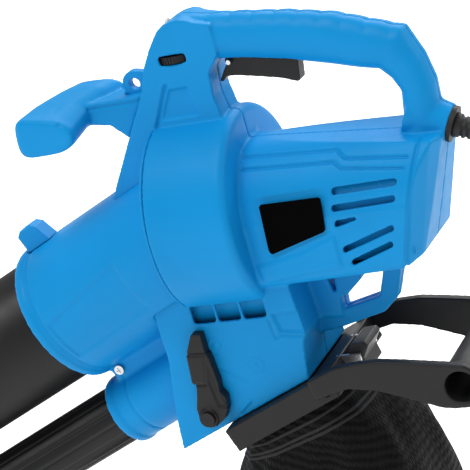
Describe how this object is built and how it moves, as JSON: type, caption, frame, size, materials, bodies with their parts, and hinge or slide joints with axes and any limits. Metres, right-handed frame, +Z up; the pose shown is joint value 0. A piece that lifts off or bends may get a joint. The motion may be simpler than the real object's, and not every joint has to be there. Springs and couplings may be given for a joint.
{
  "type": "leaf vacuum mulcher",
  "caption": "Corded leaf vacuum and blower: blue fan and motor housing with a loop handle, twin black tubes, mode lever and hanging collecting bag.",
  "frame": {"origin": "centre of the main grip, where the hand holds the machine", "axes": "+X to the rear, away from the tubes; +Y to the right side; +Z up, with the motor shaft rising 16 degrees to the rear as in use"},
  "size_m": [1.1324, 0.2092, 0.9368],
  "materials": {
    "blue_plastic": "satin moulded shell",
    "black_plastic": "fine grained",
    "tube_plastic": "satin extruded tube",
    "wheel_plastic": "fine grained",
    "name_plate": "glossy blank plate",
    "steel": "zinc plated",
    "cast_aluminium": "cast",
    "copper": "enamelled copper",
    "brass": "pressed",
    "carbon": "pressed carbon",
    "bag_cloth": "black knitted mesh cloth",
    "zip": "woven zip tape",
    "cord_rubber": "satin rubber",
    "circuit_board": "solder mask"
  },
  "bodies": {
    "machine": {"housing_left": "blue_plastic", "housing_right": "blue_plastic", "outlet_duct": "blue_plastic", "lower_brace": "blue_plastic", "intake_cover": "blue_plastic", "front_handle": "blue_plastic", "strap_eyelet": "blue_plastic", "name_plate": "name_plate", "suction_tube_upper": "tube_plastic", "suction_tube_lower": "tube_plastic", "blow_tube_upper": "tube_plastic", "blow_tube_lower": "tube_plastic", "tube_clip": "black_plastic", "blow_clip": "black_plastic", "tube_screws": "steel", "wheel_bracket": "black_plastic", "wheel_axle": "steel", "latch_spring": "steel", "housing_screws": "steel", "motor_bracket": "black_plastic", "front_bearing": "steel", "rear_bearing": "steel", "rear_bearing_bridge": "black_plastic", "stator": "steel", "field_coils": "copper", "brush_holders": "brass", "carbon_brushes": "carbon", "switch_body": "black_plastic", "trigger_pin": "steel", "dial_board": "circuit_board", "motor_lead": "black_plastic", "cord_gland": "cord_rubber", "cord_clamp": "black_plastic", "strain_relief": "cord_rubber", "cord": "cord_rubber", "plug_body": "cord_rubber", "plug_pins": "steel"},
    "rotor": {"rotor_shaft": "steel", "armature": "steel", "commutator": "copper", "cooling_fan": "black_plastic", "impeller": "cast_aluminium", "impeller_nut": "steel"},
    "trigger": {"trigger": "black_plastic"},
    "speed_dial": {"speed_dial": "black_plastic"},
    "mode_selector": {"mode_lever": "black_plastic", "lever_cap": "black_plastic", "selector_shaft": "black_plastic", "selector_flap": "black_plastic"},
    "bag": {"bag_frame": "black_plastic", "bag_bracket": "black_plastic", "latch_pin": "steel", "bag": "bag_cloth", "bag_zip": "zip"},
    "bag_latch": {"bag_latch": "black_plastic"},
    "tube_latch": {"tube_latch": "blue_plastic"},
    "wheel_left": {"wheel_left": "wheel_plastic"},
    "wheel_right": {"wheel_right": "wheel_plastic"}
  },
  "joints": [
    {"name": "rotor_spin", "type": "hinge", "parent": "machine", "child": "rotor", "pos_m": [-0.09572, 0, -0.16685], "axis": [0.9613, 0, 0.2756], "continuous": true},
    {"name": "trigger_pull", "type": "hinge", "parent": "machine", "child": "trigger", "pos_m": [-0.08926, 0, -0.02976], "axis": [0, -1, 0], "range_deg": [0, 6], "stiffness_Nm_per_rad": 1.2, "springref_deg": -8.59},
    {"name": "dial_turn", "type": "hinge", "parent": "machine", "child": "speed_dial", "pos_m": [-0.13678, -0.005, -0.0309], "axis": [-0.2756, 0, 0.9613], "range_deg": [0, 270]},
    {"name": "mode_turn", "type": "hinge", "parent": "machine", "child": "mode_selector", "pos_m": [-0.08868, 0, -0.34376], "axis": [0, 1, 0], "range_deg": [0, 45]},
    {"name": "bag_off", "type": "slide", "parent": "machine", "child": "bag", "axis": [0.6225, 0, -0.7826], "range_m": [0, 0.03]},
    {"name": "bag_latch_press", "type": "hinge", "parent": "bag", "child": "bag_latch", "pos_m": [0.03296, 0, -0.28183], "axis": [0, -1, 0], "range_deg": [0, 8], "stiffness_Nm_per_rad": 0.6, "springref_deg": -8.59},
    {"name": "tube_latch_press", "type": "slide", "parent": "machine", "child": "tube_latch", "axis": [0.6361, 0, -0.7716], "range_m": [0, 0.003], "stiffness_N_per_m": 400, "springref_m": -0.002},
    {"name": "wheel_left_spin", "type": "hinge", "parent": "machine", "child": "wheel_left", "pos_m": [-0.69067, 0, -0.8789], "axis": [0, 1, 0], "continuous": true},
    {"name": "wheel_right_spin", "type": "hinge", "parent": "machine", "child": "wheel_right", "pos_m": [-0.69067, 0, -0.8789], "axis": [0, 1, 0], "continuous": true}
  ]
}
